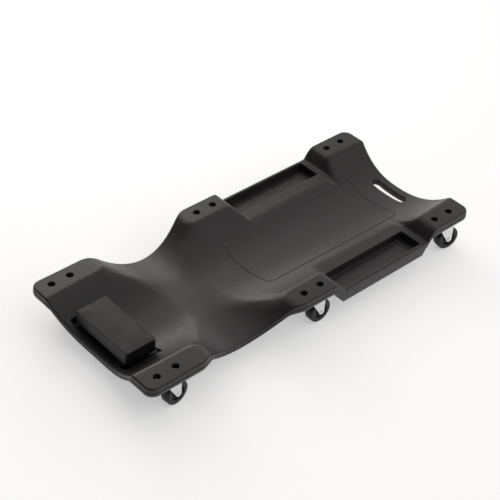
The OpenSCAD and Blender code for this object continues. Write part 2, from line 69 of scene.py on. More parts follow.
# Sizes of the board, in millimetres
DECK_LOW, DECK_HIGH = box_mm("deck")
BOARD_LEN = DECK_HIGH[0] - DECK_LOW[0]
BOARD_W = DECK_HIGH[1] - DECK_LOW[1]
PAD_TOP = DECK_HIGH[2]
HALF_LEN = BOARD_LEN / 2
HALF_W = BOARD_W / 2
HEAD_X, MID_X, FOOT_X = (joint_mm("swivel_" + c)[0] for c in CORNERS[::2])
BOARD_T, PAD_T = 18.0, 25.0
PAD_W_MID, PAD_W_END = 61.0, 67.0
CORNER_R, RIM_R = 24.0, 4.5
HEAD_CURVE, FOOT_CURVE, CURVE_REACH = 19.0, 19.0, 110.0
HEAD_DEPTH, WAIST_DEPTH, SEAT_DEPTH, FOOT_DEPTH = 60.0, 41.0, 49.0, 51.0
TROUGH_POWER, SIDE_POWER = 2.6, 1.5
SCOOP_EDGE_DEPTH, SCOOP_MID_DEPTH = 53.7, 43.0
WAIST_IN, WAIST_REACH = 36.5, 146.0
SCOOP_X0, SCOOP_X1 = HEAD_X + 108, MID_X - 73
SCOOP_X = (SCOOP_X0 + SCOOP_X1) / 2
SCOOP_HALF = (SCOOP_X1 - SCOOP_X0) / 2
BOWL_X, SEAT_X = HEAD_X + 30, FOOT_X - 46

# Tool trays
LEDGE_DEPTH, TRAY_DEPTH = 29.0, 20.0
FACE_SLOPE, FOOT_SLOPE = 1.19, 1.55
FLOOR_DEPTH = LEDGE_DEPTH + TRAY_DEPTH
PAD_EDGE_X = MID_X + 59
LEDGE_X0 = PAD_EDGE_X + LEDGE_DEPTH / FACE_SLOPE
LEDGE_X1 = FOOT_X - 76
FLOOR_X0 = LEDGE_X0 + TRAY_DEPTH / FACE_SLOPE
TRAY_X1 = LEDGE_X1 - 19
TRAY_DRAFT = 3.0
FLOOR_X1 = TRAY_X1 - TRAY_DRAFT
TRAY_OUT = HALF_W - 9
TRAY_IN = TRAY_OUT - 63
WALL_SLOPE = TRAY_DEPTH / TRAY_DRAFT
SHELL_DEPTH = FLOOR_DEPTH + 17
SHELL_X0, SHELL_X1, SHELL_IN = PAD_EDGE_X + 22, TRAY_X1 + 5, TRAY_IN - 4
SHELL_SLOPE, SHELL_FOOT_SLOPE = 1.17, 1.8

# How softly the surfaces run into each other
PAD_SOFT, SCOOP_SOFT, WAIST_SOFT = 3.0, 12.0, 6.0
CORNER_SOFT, CORNER_FADE = 30.0, 30.0
LEDGE_SOFT, FACE_SOFT, RAMP_SOFT, RAMP_RUN, SKIN_RUN = 4.0, 9.0, 22.0, 24.0, 12.0
TRAY_SOFT = 3.0

# Bed of the headrest
REST_LOW, REST_HIGH = box_mm("headrest_cushion")
BACKING_LOW = box_mm("headrest_backing")[0]
REST_X = (REST_LOW[0] + REST_HIGH[0]) / 2
REST_HALF = (REST_HIGH[:2] - REST_LOW[:2]) / 2
BED_HALF = REST_HALF + (8.0, 11.0)
BED_DEPTH, BED_R, BED_LIP = HEAD_DEPTH - 10, 3.0, 0.9

# Handle slot and seat groove
SLOT_LEN, SLOT_W, GRIP_W, SLOT_LIP = 112.0, 23.0, 25.0, 3.5
GROOVE_Y, GROOVE_W, GROOVE_DEPTH = 87.0, 1.5, 1.1
GROOVE_HEAD, GROOVE_FOOT = -51.0, 381.0
GROOVE_HEAD_BOW, GROOVE_FOOT_BOW = 10.0, 12.0
GROOVE_R = 13.0

# Bolt wells. A liner's foot is given as steps in from its wall and up from its floor
BOLT_PITCH, WELL_R, WELL_DEPTH, WELL_LIP = 51.0, 8.75, 18.0, 0.9
WELL_FOOT, WELL_HOLE_R, WELL_GAP = [(0.1, 1.0), (0.4, 0.3), (1.0, 0.0)], 3.3, 0.3

# Pinch pockets, which narrow inward
PINCH_R, PINCH_FLARE, PINCH_TAPER, PINCH_DEPTH, PINCH_Y = 12.0, 2.0, 1.0, 10.0, 44.0
PINCH_X = [-116, -24, 68, 160, 252]

# How far the cutters stand over the pad tops
CUT_OVER = 3.0


# Number helpers, for single numbers and arrays alike
def mix(a, b, t):
    return a + (b - a) * t


def ease(t):
    t = np.clip(t, 0, 1)
    return t * t * (3 - 2 * t)


def soft_min(a, b, k):
    h = np.maximum(k - np.abs(a - b), 0) / k
    return np.minimum(a, b) - h * h * k / 4


def soft_max(a, b, k):
    return -soft_min(-a, -b, k)


def rounded(d, r):
    """How far a quarter round of radius r lies below its flat, at a distance d from the edge."""
    d = np.clip(d, 0, r)
    return r - np.sqrt(np.maximum(0, r * r - (r - d) ** 2))


# Board plan
def waist_w(x):
    """Half the width at the arm scoops."""
    return HALF_W - WAIST_IN * (1 - ((x - SCOOP_X) / WAIST_REACH) ** 2)


def half_w(x):
    """Half the width all along, with its rounded corners."""
    return soft_min(HALF_W, waist_w(x), WAIST_SOFT) - rounded(HALF_LEN - np.abs(x), CORNER_R)


def pad_in(x):
    """Half the width between the pads."""
    return HALF_W - mix(PAD_W_MID, PAD_W_END, (2 * np.abs(x) / BOARD_LEN) ** 4)


def end_in(x, y):
    """How far the curved ends draw the plan in along X."""
    u = np.clip(np.abs(y) / pad_in(HALF_LEN), 0, 1)
    head = HEAD_CURVE * (1 - u * u) * np.clip(1 - (x + HALF_LEN) / CURVE_REACH, 0, 1)
    foot = FOOT_CURVE * (1 - u * u) * np.clip(1 - (HALF_LEN - x) / CURVE_REACH, 0, 1)
    return head - foot


# Board heights, from the pad tops
def depth(x):
    """Depth of the hollow along its middle."""
    head = mix(HEAD_DEPTH, WAIST_DEPTH, ease((x - BOWL_X) / (SCOOP_X - BOWL_X)))
    seat = mix(WAIST_DEPTH, SEAT_DEPTH, ease((x - SCOOP_X) / (SEAT_X - SCOOP_X)))
    foot = mix(SEAT_DEPTH, FOOT_DEPTH, ease((x - SEAT_X) / (HALF_LEN - SEAT_X)))
    return np.where(x < SCOOP_X, head, np.where(x < SEAT_X, seat, foot))


def body_top(x, y):
    """Pads, hollow and arm scoops."""
    trough = -depth(x) * (1 - (np.abs(y) / pad_in(x)) ** TROUGH_POWER)
    side = (np.abs(y) / (HALF_W - WAIST_IN)) ** SIDE_POWER
    scoop = SCOOP_EDGE_DEPTH * ((x - SCOOP_X) / SCOOP_HALF) ** 2
    scoop = scoop - mix(SCOOP_MID_DEPTH, SCOOP_EDGE_DEPTH, side)
    corner = mix(SCOOP_SOFT, CORNER_SOFT, ease(1 + np.maximum(trough, scoop) / CORNER_FADE))
    pad = soft_min(soft_min(trough, 0, PAD_SOFT), scoop, SCOOP_SOFT)
    return np.minimum(pad, soft_min(trough, scoop, corner))


def face_top(x):
    return -LEDGE_DEPTH + (LEDGE_X0 - x) * FACE_SLOPE


def shelf_top(x, y):
    """The body cut down to the ledges round the trays."""
    ramp = soft_max((x - LEDGE_X1) * FOOT_SLOPE - LEDGE_DEPTH, -LEDGE_DEPTH, LEDGE_SOFT)
    ledge = soft_max(ramp, face_top(x), LEDGE_SOFT)
    body = body_top(x, y)
    face = mix(LEDGE_SOFT, FACE_SOFT, ease(1 + body / LEDGE_DEPTH))
    return soft_min(body, ledge, mix(face, RAMP_SOFT, ease((x - TRAY_X1) / RAMP_RUN)))


def pocket_top(x, y):
    """Walls and floor of the trays."""
    y = np.abs(y)
    walls = [
        face_top(x),
        (x - FLOOR_X1) * WALL_SLOPE - FLOOR_DEPTH,
        (TRAY_IN + TRAY_DRAFT - y) * WALL_SLOPE - FLOOR_DEPTH,
        (y - TRAY_OUT + TRAY_DRAFT) * WALL_SLOPE - FLOOR_DEPTH,
    ]
    z = np.full(np.broadcast(x, y).shape, -FLOOR_DEPTH)
    for wall in walls:
        z = soft_max(z, wall, TRAY_SOFT)
    return z


def skin_bottom(z):
    return z - mix(BOARD_T, PAD_T, ease(1 + z / SKIN_RUN))


def shell_bottom(x, y):
    """Underside of the trays."""
    head = (SHELL_X0 - x) * SHELL_SLOPE
    foot = (x - SHELL_X1) * SHELL_FOOT_SLOPE
    inner = (SHELL_IN - np.abs(y)) * SHELL_SLOPE
    rise = soft_max(soft_max(head, foot, TRAY_SOFT), inner, TRAY_SOFT)
    return soft_max(rise, 0, TRAY_SOFT) - SHELL_DEPTH


def slot_arc():
    """The arc that the handle slot follows: the X of its centre, and its radius."""
    reach = pad_in(HALF_LEN)
    arc_r = reach * reach / FOOT_CURVE / 2 + GRIP_W + SLOT_W / 2
    return HALF_LEN - FOOT_CURVE - GRIP_W - SLOT_W / 2 + arc_r, arc_r


def slot_distance(x, y):
    """Distance to the handle slot's edge, less than nothing inside it."""
    cx, arc_r = slot_arc()
    along = np.arctan2(y, cx - x) * arc_r
    across = np.hypot(cx - x, y) - arc_r
    return np.hypot(np.maximum(np.abs(along) - (SLOT_LEN - SLOT_W) / 2, 0), across) - SLOT_W / 2


def bed_distance(x, y):
    """Distance to the edge of the headrest's bed, less than nothing inside it."""
    dx = np.abs(x - REST_X) - BED_HALF[0] + BED_R
    dy = np.abs(y) - BED_HALF[1] + BED_R
    outside = np.hypot(np.maximum(dx, 0), np.maximum(dy, 0))
    return outside + np.minimum(np.maximum(dx, dy), 0) - BED_R


def groove_distance(x, y):
    """Distance to the line that frames the seat, less than nothing inside it."""
    v = (y / GROOVE_Y) ** 2
    sides = np.abs(y) - GROOVE_Y + GROOVE_R
    head = GROOVE_HEAD + GROOVE_HEAD_BOW * v - x
    foot = x - GROOVE_FOOT - GROOVE_FOOT_BOW * v
    ends = np.maximum(head, foot) + GROOVE_R
    corner = np.hypot(np.maximum(sides, 0), np.maximum(ends, 0))
    return np.minimum(np.maximum(sides, ends), 0) + corner - GROOVE_R


def top_z(x, y):
    z = soft_min(shelf_top(x, y), pocket_top(x, y), TRAY_SOFT)
    groove = np.clip(1 - np.abs(groove_distance(x, y)) / GROOVE_W, 0, 1)
    wall = np.clip((z + BED_DEPTH) / (3 * BED_LIP), 0, 1)
    z = z - wall * rounded(bed_distance(x, y), BED_LIP)
    return z - GROOVE_DEPTH * ease(groove) - rounded(slot_distance(x, y), SLOT_LIP)


def bottom_z(x, y):
    z = soft_min(body_top(x, y), np.maximum(face_top(x), -LEDGE_DEPTH), LEDGE_SOFT)
    z = np.where(x > FLOOR_X0, shelf_top(x, y), z)
    skin = soft_min(skin_bottom(z), shell_bottom(x, y), TRAY_SOFT)
    return skin + rounded(slot_distance(x, y), SLOT_LIP)


# Mesh helpers
def grid_lines(*zones):
    """Grid lines through zones of start, end and step."""
    out = []
    for start, end, step in zones:
        n = max(1, ceil((end - start) / step))
        out.extend(start + (end - start) * i / n for i in range(n))
    out.append(zones[-1][1])
    return np.array(out)


def arc_lines(r, n):
    """Distances from an edge that divide its quarter round evenly."""
    return r * (1 - np.cos(np.linspace(0, pi / 2, n + 1)))


def mesh_object(name, verts, faces, sharp=35):
    """A mesh object from points in millimetres, smooth up to the sharp angle."""
    mesh = bpy.data.meshes.new(name)
    mesh.from_pydata((np.array(verts, float) * MM).tolist(), [], faces)
    mesh.validate()
    mesh.polygons.foreach_set("use_smooth", np.ones(len(mesh.polygons), bool))
    mesh.set_sharp_from_angle(angle=radians(sharp))
    ob = bpy.data.objects.new(name, mesh)
    bpy.context.scene.collection.objects.link(ob)
    return ob


def dress(ob, material, body):
    """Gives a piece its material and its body."""
    ob.data.materials.clear()
    ob.data.materials.append(material)
    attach(ob, body)


def apply_modifiers(ob, sharp):
    graph = bpy.context.evaluated_depsgraph_get()
    mesh = bpy.data.meshes.new_from_object(ob.evaluated_get(graph))
    ob.modifiers.clear()
    old, ob.data = ob.data, mesh
    bpy.data.meshes.remove(old)
    mesh.polygons.foreach_set("use_smooth", np.ones(len(mesh.polygons), bool))
    mesh.set_sharp_from_angle(angle=radians(sharp))


# A radius under this one lies on the axis
ON_AXIS = 1e-6


def lathe(profile, n=48, closed=False):
    """Rings of a profile of (radius, height) about Z; ends on the axis close themselves."""
    verts, rings = [], []
    for r, z in profile:
        if r < ON_AXIS:
            rings.append([len(verts)] * n)
            verts.append((0, 0, z))
            continue
        rings.append(list(range(len(verts), len(verts) + n)))
        verts.extend((r * cos(2 * pi * k / n), r * sin(2 * pi * k / n), z) for k in range(n))
    faces = []
    for a, b in zip(rings, rings[1:] + (rings[:1] if closed else [])):
        for k in range(n):
            quad = [a[k], a[(k + 1) % n], b[(k + 1) % n], b[k]]
            face = list(dict.fromkeys(quad))
            if len(face) > 2:
                faces.append(face)
    return verts, faces


def joined(parts):
    """Several (verts, faces) as one."""
    verts, faces = [], []
    for v, f in parts:
        faces.extend([i + len(verts) for i in face] for face in f)
        verts.extend(tuple(p) for p in v)
    return verts, faces


def moved(part, offset, turn=None):
    """A (verts, faces) turned by a matrix and shifted."""
    verts = np.array(part[0], float)
    if turn is not None:
        verts = verts @ np.array(turn.to_3x3()).T
    return (verts + np.array(offset, float)).tolist(), part[1]


def prism(outline, z0, z1):
    """An upright solid over a closed outline of (x, y)."""
    n = len(outline)
    verts = [(x, y, z0) for x, y in outline] + [(x, y, z1) for x, y in outline]
    walls = [[k, (k + 1) % n, n + (k + 1) % n, n + k] for k in range(n)]
    return verts, walls + [list(range(n - 1, -1, -1)), list(range(n, 2 * n))]


# Materials. A texture's values lie in this span
TEXTURE_SPAN = (0.3, 0.7)


def new_material(name):
    m = bpy.data.materials.new(name)
    m.use_nodes = True
    tree = m.node_tree
    shader = tree.nodes["Principled BSDF"]
    return m, tree, shader


def add(tree, kind, **values):
    """A node with its properties and its inputs set by name."""
    node = tree.nodes.new(kind)
    for key, value in values.items():
        if key in node.inputs:
            node.inputs[key].default_value = value
        else:
            setattr(node, key, value)
    return node


def noise(tree, scale, detail):
    coords = add(tree, "ShaderNodeTexCoord")
    node = add(tree, "ShaderNodeTexNoise", Scale=scale, Detail=detail, Roughness=0.55)
    tree.links.new(coords.outputs["Object"], node.inputs["Vector"])
    return node


def spread_of(tree, source, low, high, span=TEXTURE_SPAN):
    """A number between low and high that follows a texture."""
    node = add(tree, "ShaderNodeMapRange")
    for key, value in zip(("From Min", "From Max", "To Min", "To Max"), (*span, low, high)):
        node.inputs[key].default_value = value
    tree.links.new(source, node.inputs["Value"])
    return node.outputs["Result"]


def tint(tree, source, dark, light):
    """A colour between dark and light that follows a texture."""
    node = add(tree, "ShaderNodeValToRGB")
    ramp = node.color_ramp
    ramp.elements[0].position, ramp.elements[1].position = TEXTURE_SPAN
    ramp.elements[0].color, ramp.elements[1].color = (*dark, 1), (*light, 1)
    tree.links.new(source, node.inputs["Fac"])
    return node.outputs["Color"]


def bump(tree, shader, layers):
    """Bumps from (height output, strength, depth in metres), one over the other."""
    normal = None
    for height, strength, distance in layers:
        node = add(tree, "ShaderNodeBump", Strength=strength, Distance=distance)
        tree.links.new(height, node.inputs["Height"])
        if normal is not None:
            tree.links.new(normal, node.inputs["Normal"])
        normal = node.outputs["Normal"]
    tree.links.new(normal, shader.inputs["Normal"])


def moulded_plastic(name, dark, light, specular):
    m, tree, shader = new_material(name)
    cloud = noise(tree, 6, 3)
    grain = noise(tree, 1400, 2)
    ripple = noise(tree, 90, 3)
    tree.links.new(tint(tree, cloud.outputs["Fac"], dark, light), shader.inputs["Base Color"])
    tree.links.new(spread_of(tree, ripple.outputs["Fac"], 0.33, 0.41), shader.inputs["Roughness"])
    shader.inputs["Specular IOR Level"].default_value = specular
    bump(tree, shader, [
        (grain.outputs["Fac"], 0.35, 0.0004), (ripple.outputs["Fac"], 0.12, 0.0006)])
    return m


def vinyl():
    dark, light = (0.0062, 0.0060, 0.0062), (0.0090, 0.0086, 0.0088)
    m, tree, shader = new_material("vinyl")
    coords = add(tree, "ShaderNodeTexCoord")
    cells = add(tree, "ShaderNodeTexVoronoi", Scale=700.0, feature="DISTANCE_TO_EDGE")
    tree.links.new(coords.outputs["Object"], cells.inputs["Vector"])
    folds = noise(tree, 40, 3)
    tree.links.new(tint(tree, folds.outputs["Fac"], dark, light), shader.inputs["Base Color"])
    tree.links.new(spread_of(tree, folds.outputs["Fac"], 0.42, 0.54), shader.inputs["Roughness"])
    shader.inputs["Specular IOR Level"].default_value = 0.4
    crease = spread_of(tree, cells.outputs["Distance"], 0, 1, (0.0, 0.12))
    bump(tree, shader, [(crease, 0.35, 0.00025), (folds.outputs["Fac"], 0.15, 0.001)])
    return m


def zinc_plate(name, dark, light, smooth, rough):
    m, tree, shader = new_material(name)
    cloud = noise(tree, 130, 4)
    grain = noise(tree, 2200, 2)
    tree.links.new(tint(tree, cloud.outputs["Fac"], dark, light), shader.inputs["Base Color"])
    tree.links.new(spread_of(tree, cloud.outputs["Fac"], smooth, rough), shader.inputs["Roughness"])
    shader.inputs["Metallic"].default_value = 1.0
    bump(tree, shader, [(grain.outputs["Fac"], 0.12, 0.0002)])
    return m


def wheel_plastic():
    dark, light = (0.0060, 0.0058, 0.0058), (0.0090, 0.0086, 0.0086)
    m, tree, shader = new_material("wheel_plastic")
    cloud = noise(tree, 60, 3)
    scuff = noise(tree, 900, 3)
    tree.links.new(tint(tree, cloud.outputs["Fac"], dark, light), shader.inputs["Base Color"])
    tree.links.new(spread_of(tree, scuff.outputs["Fac"], 0.34, 0.5), shader.inputs["Roughness"])
    shader.inputs["Specular IOR Level"].default_value = 0.3
    bump(tree, shader, [(scuff.outputs["Fac"], 0.15, 0.0003)])
    return m


def backing_paint():
    dark, light = (0.014, 0.013, 0.012), (0.030, 0.027, 0.024)
    m, tree, shader = new_material("backing_board")
    fibre = noise(tree, 300, 5)
    tree.links.new(tint(tree, fibre.outputs["Fac"], dark, light), shader.inputs["Base Color"])
    shader.inputs["Roughness"].default_value = 0.7
    bump(tree, shader, [(fibre.outputs["Fac"], 0.3, 0.0006)])
    return m


PLASTIC = moulded_plastic(
    "moulded_plastic", (0.0125, 0.0112, 0.0110), (0.0165, 0.0148, 0.0145), 0.45)
# Painted shade: the flat floor of the headrest's bed gets a near-black, barely glossy plastic that
# stands in for the shade under the cushion
BED_PAINTED_SHADE = moulded_plastic("bed_painted_shade", (0.003, 0.003, 0.003), (0.004, 0.004, 0.004), 0.08)
ZINC = zinc_plate("zinc_plated_steel", (0.66, 0.68, 0.68), (0.80, 0.82, 0.82), 0.26, 0.40)
# Painted highlight: bolts, nuts and washers get a lighter, rougher copy of the zinc so that they
# glint down in their wells
ZINC_PAINTED_GLINT = zinc_plate("zinc_painted_glint", (0.82, 0.82, 0.82), (0.90, 0.90, 0.90), 0.55, 0.65)
VINYL, WHEEL, BACKING = vinyl(), wheel_plastic(), backing_paint()


# The board's skin. Distances are worked out in blocks of points, and points out of reach are far
BLOCK = 2000
FAR = 1e3


def outline_distance(px, py, loop):
    """Distance from points to a closed line."""
    a, b = loop, np.roll(loop, -1, axis=0)
    ab = b - a
    length = (ab ** 2).sum(1)
    out = np.empty(len(px))
    for i in range(0, len(px), BLOCK):
        p = np.stack([px[i:i + BLOCK], py[i:i + BLOCK]], 1)[:, None, :]
        t = np.clip(((p - a) * ab).sum(2) / length, 0, 1)
        gap = p - a - t[..., None] * ab
        out[i:i + BLOCK] = np.sqrt((gap ** 2).sum(2)).min(1)
    return out


# Rim between the two skins: share of its height, and how far it stands out
RIM_PROFILE = [
    (0.12, 0.15), (0.3, 0.3), (0.42, 0.3), (0.48, -0.7),
    (0.53, -0.7), (0.58, 0.9), (0.68, 1.0), (0.85, 0.6),
]
# Where the rim's parting line fades out, and what is left of its profile there
PLAIN_START, PLAIN_RUN, PLAIN_FOOT_RUN, PLAIN_PROUD = 14.0, 20.0, 30.0, 0.3

# Zones of the board's grid, as start, end and step: its lines lie closer where the surface bends
GRID_INNER = HALF_LEN - CORNER_R
BED_X0, BED_X1 = (REST_X + s * BED_HALF[0] for s in (-1, 1))
GRID_X = [
    (-GRID_INNER, BED_X0 + 9, 0.9),
    (BED_X0 + 9, BED_X1 - 3, 5),
    (BED_X1 - 3, BED_X1 + 3, 0.7),
    (BED_X1 + 3, SCOOP_X0 - 16, 5),
    (SCOOP_X0 - 16, SCOOP_X1 + 8, 4),
    (SCOOP_X1 + 8, GROOVE_HEAD - 4, 5),
    (GROOVE_HEAD - 4, GROOVE_HEAD + 15, 0.8),
    (GROOVE_HEAD + 15, PAD_EDGE_X - 4, 5),
    (PAD_EDGE_X - 4, FLOOR_X0 + 4, 1.8),
    (FLOOR_X0 + 4, FLOOR_X1 - 4, 5),
    (FLOOR_X1 - 4, TRAY_X1 + 4, 0.9),
    (TRAY_X1 + 4, GROOVE_FOOT - 4, 2.5),
    (GROOVE_FOOT - 4, GROOVE_FOOT + 17, 0.8),
    (GROOVE_FOOT + 17, FOOT_X - 8, 4),
    (FOOT_X - 8, FOOT_X + 30, 1.4),
    (FOOT_X + 30, GRID_INNER, 4),
]
GRID_Y = [
    (0, 40, 5),
    (40, 62, 2.5),
    (62, GROOVE_Y - GROOVE_R - 2, 4),
    (GROOVE_Y - GROOVE_R - 2, GROOVE_Y + 3, 0.8),
    (GROOVE_Y + 3, BED_HALF[1] - 3, 4),
    (BED_HALF[1] - 3, BED_HALF[1] + 3, 0.7),
    (BED_HALF[1] + 3, TRAY_IN - 4, 5),
    (TRAY_IN - 4, TRAY_IN + TRAY_DRAFT + 4, 1.0),
    (TRAY_IN + TRAY_DRAFT + 4, TRAY_OUT - TRAY_DRAFT - 4, 5),
    (TRAY_OUT - TRAY_DRAFT - 4, HALF_W - RIM_R, 0.9),
]
CORNER_LINES, RIM_LINES = 18, 8


def board_grid():
    end = arc_lines(CORNER_R, CORNER_LINES)
    side = arc_lines(RIM_R, RIM_LINES)
    x = np.concatenate([-HALF_LEN + end[:-1], grid_lines(*GRID_X), (HALF_LEN - end[:-1])[::-1]])
    y = np.concatenate([grid_lines(*GRID_Y), HALF_W - side[:-1][::-1]])
    return x, np.concatenate([-y[:0:-1], y])


def ring_of(nx, ny):
    """The grid's outer nodes in order, as two lists of indices."""
    ring = [(i, 0) for i in range(nx - 1)] + [(nx - 1, j) for j in range(ny - 1)]
    ring += [(i, ny - 1) for i in range(nx - 1, 0, -1)] + [(0, j) for j in range(ny - 1, 0, -1)]
    return np.array(ring).T


def plain_side(x, y):
    """Share of the rim's parting line that is lost in a tray's side or in the foot end."""
    pads = ease((x - LEDGE_X1) / PLAIN_FOOT_RUN) * (np.abs(y) > TRAY_OUT)
    return ease((x - PAD_EDGE_X - PLAIN_START) / PLAIN_RUN) * (1 - pads)


def two_skins(px, py, top, low, rim, fade=None):
    """A closed solid: two skins on one grid, joined by rings of (share of height, mm proud)."""
    nx, ny = px.shape
    half = nx * ny
    ri, rj = ring_of(nx, ny)
    loop = np.stack([px[ri, rj], py[ri, rj]], 1)
    a = (np.arange(nx - 1)[:, None] * ny + np.arange(ny - 1)[None, :]).ravel()
    quads = np.stack([a, a + ny, a + ny + 1, a + 1], 1)
    faces = quads.tolist() + (quads[:, ::-1] + half).tolist()
    step = np.roll(loop, -1, axis=0) - np.roll(loop, 1, axis=0)
    out = np.stack([step[:, 1], -step[:, 0]], 1) / np.hypot(step[:, 0], step[:, 1])[:, None]
    index = ri * ny + rj
    verts = [np.stack([px, py, z], 2).reshape(-1, 3) for z in (top, low)]
    rings, count, n = [index], 2 * half, len(ri)
    for share, proud in rim:
        z = mix(verts[0][index, 2], verts[1][index, 2], share)
        if fade is not None:
            proud = mix(proud, PLAIN_PROUD, fade(loop[:, 0], loop[:, 1]))[:, None]
        verts.append(np.column_stack([loop + proud * out, z]))
        rings.append(np.arange(count, count + n))
        count += n
    rings.append(index + half)
    for upper, lower in zip(rings, rings[1:]):
        faces += np.stack([upper, lower, np.roll(lower, -1), np.roll(upper, -1)], 1).tolist()
    return np.concatenate(verts), faces


def edge_gap(px, py, near):
    """Distance from the grid's nodes to its outer line where near is true, and far elsewhere."""
    ri, rj = ring_of(*px.shape)
    gap = np.full(px.shape, FAR)
    gap[near] = outline_distance(px[near], py[near], np.stack([px[ri, rj], py[ri, rj]], 1))
    return gap


def board_skin():
    x, y = board_grid()
    gx, gy = np.meshgrid(x, y, indexing="ij")
    py = gy * half_w(gx) / HALF_W
    px = gx + end_in(gx, py)
    near = (HALF_W - np.abs(gy) < 2 * RIM_R) | (HALF_LEN - np.abs(gx) < 2 * RIM_R)
    drop = rounded(edge_gap(px, py, near), RIM_R)
    top, low = PAD_TOP + top_z(px, py) - drop, PAD_TOP + bottom_z(px, py) + drop
    return two_skins(px, py, top, low, RIM_PROFILE, plain_side)


def bolt_places():
    """The middle of each bolt well in plan."""
    places = [(joint_mm("swivel_" + c), s * BOLT_PITCH / 2) for c in CORNERS for s in (-1, 1)]
    return [(pivot[0] + side, pivot[1]) for pivot, side in places]


def cylinder(x, y, z0, z1, r0, r1):
    """An upright solid whose radius runs from r0 to r1."""
    return moved(lathe([(0, z0), (r0, z0), (r1, z1), (0, z1)]), (x, y, 0))


def slot_outline(n=14):
    """The slot's edge, anticlockwise from the +Y end of its head-side arc."""
    cx, arc_r = slot_arc()
    turn = (SLOT_LEN - SLOT_W) / 2 / arc_r

    def side(r, start, end):
        return [(cx - r * cos(t), r * sin(t)) for t in np.linspace(start, end, 2 * n)]

    def cap(t, way):
        out, along = np.array((-cos(t), sin(t))), np.array((sin(t), cos(t)))
        middle = arc_r * out + (cx, 0)
        turns = np.linspace(0, pi, n + 1)[1:-1]
        return [tuple(middle + SLOT_W / 2 * way * (out * cos(a) - along * sin(a))) for a in turns]

    return (side(arc_r + SLOT_W / 2, turn, -turn) + cap(-turn, 1)
            + side(arc_r - SLOT_W / 2, -turn, turn) + cap(turn, -1))


def bed_outline(n=6):
    """The edge of the headrest's bed, anticlockwise."""
    points = []
    for q, (sx, sy) in enumerate(((1, 1), (-1, 1), (-1, -1), (1, -1))):
        middle = (REST_X + sx * (BED_HALF[0] - BED_R), sy * (BED_HALF[1] - BED_R))
        points += [(middle[0] + BED_R * cos(t), middle[1] + BED_R * sin(t))
                   for t in np.linspace(q * pi / 2, (q + 1) * pi / 2, n)]
    return points


def board_cutters():
    """Bolt wells, the headrest's bed, the handle slot and the pinch pockets, as one mesh."""
    high, mouth_r = PAD_TOP + CUT_OVER, WELL_R + WELL_LIP
    parts = [prism(bed_outline(), PAD_TOP - BED_DEPTH, high)]
    for x, y in bolt_places():
        parts.append(cylinder(x, y, PAD_TOP - WELL_DEPTH - WELL_GAP, high, mouth_r, mouth_r))
    parts.append(prism(slot_outline(), 0, PAD_TOP))
    for x in PINCH_X:
        for s in (-1, 1):
            z = PAD_TOP + float(bottom_z(np.array(float(x)), np.array(PINCH_Y)))
            parts.append(cylinder(x, s * PINCH_Y, z - BOARD_T, z + PINCH_DEPTH,
                                  PINCH_R + PINCH_FLARE, PINCH_R - PINCH_TAPER))
    return joined(parts)


def well_liners():
    """The wall, floor and rounded mouth of each bolt well."""
    mouth = [(WELL_R + WELL_LIP - WELL_LIP * sin(a), PAD_TOP - WELL_LIP + WELL_LIP * cos(a))
             for a in np.linspace(0, pi / 2, 6)]
    floor = PAD_TOP - WELL_DEPTH
    foot = [(WELL_R - inward, floor + up) for inward, up in WELL_FOOT]
    liner = lathe([(WELL_HOLE_R, floor)] + foot[::-1] + mouth[::-1])
    return joined([moved(liner, (x, y, 0)) for x, y in bolt_places()])


# A face of the bed's floor that takes the painted shade: how near to its height, and how level
BED_NEAR, BED_LEVEL = 0.2, 0.9


def paint_bed_shade(board):
    """Paints shade on the flat floor of the headrest's bed, as a second, near-black plastic."""
    board.data.materials.append(BED_PAINTED_SHADE)
    for face in board.data.polygons:
        x, y, z = np.array(face.center) / MM
        level = abs(z - PAD_TOP + BED_DEPTH) < BED_NEAR and face.normal.z > BED_LEVEL
        if level and bed_distance(x, y) < 0:
            face.material_index = 1


def make_board():
    board = mesh_object("board", *board_skin())
    cutters = mesh_object("board_cutters", *board_cutters())
    cut = board.modifiers.new("cut", "BOOLEAN")
    cut.object, cut.operation, cut.solver = cutters, "DIFFERENCE", "EXACT"
    apply_modifiers(board, 40)
    bpy.data.objects.remove(cutters)
    dress(board, PLASTIC, "board")
    # Painted shade on the floor of the headrest's bed
    paint_bed_shade(board)
    liners = mesh_object("well_liners", *well_liners(), sharp=60)
    dress(liners, PLASTIC, "board")
    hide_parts("deck")


make_board()


# Headrest: a cushion in vinyl with a sewn seam round its top, on two moulded seats
CUSHION_CROWN, CUSHION_R, CUSHION_PULL, CUSHION_EDGE = 2.0, 6.0, 1.0, 1.8
SEAM_IN, SEAM_W, SEAM_DEPTH = 3.4, 1.0, 0.9
# The vinyl's wrap down the edge of the backing board: its thickness, and how far it turns in
WRAP_T, WRAP_TURN = 1.7, 0.9
# How far its underside and its wrap stay over the solids' own
LOW_GAP, WRAP_GAP = 0.05, 0.2
# Rings of the cushion's side: share of its height, and how far each stands out
CUSHION_RIM = [(0.12, 0.1), (0.3, 0.3), (0.55, 0.3), (0.8, 0.1), (0.95, -0.2)]
CUSHION_STEP, CUSHION_LINES = 1.6, 6
CLOTH_FRAMES = 20
SEAT_Y, SEAT_HALF, SEAT_R = 58.0, 15.0, 11.0


def cushion_grid():
    """Plan places of the cushion's grid: a rounded rectangle whose sides are drawn in."""
    hx, hy = REST_HALF
    ends = arc_lines(CUSHION_R, CUSHION_LINES)
    lines = []
    for h in (hx, hy):
        middle = grid_lines((-h + CUSHION_R, h - CUSHION_R, CUSHION_STEP))
        lines.append(np.concatenate([-h + ends[:-1], middle, (h - ends[:-1])[::-1]]))
    gx, gy = np.meshgrid(*lines, indexing="ij")
    py = gy * (hy - rounded(hx - np.abs(gx), CUSHION_R)) / hy
    px = gx - np.sign(gx) * CUSHION_PULL * (1 - (py / hy) ** 2) * (np.abs(gx) / hx) ** 3
    py = py - np.sign(py) * CUSHION_PULL * (1 - (gx / hx) ** 2) * (np.abs(py) / hy) ** 3
    return px, py


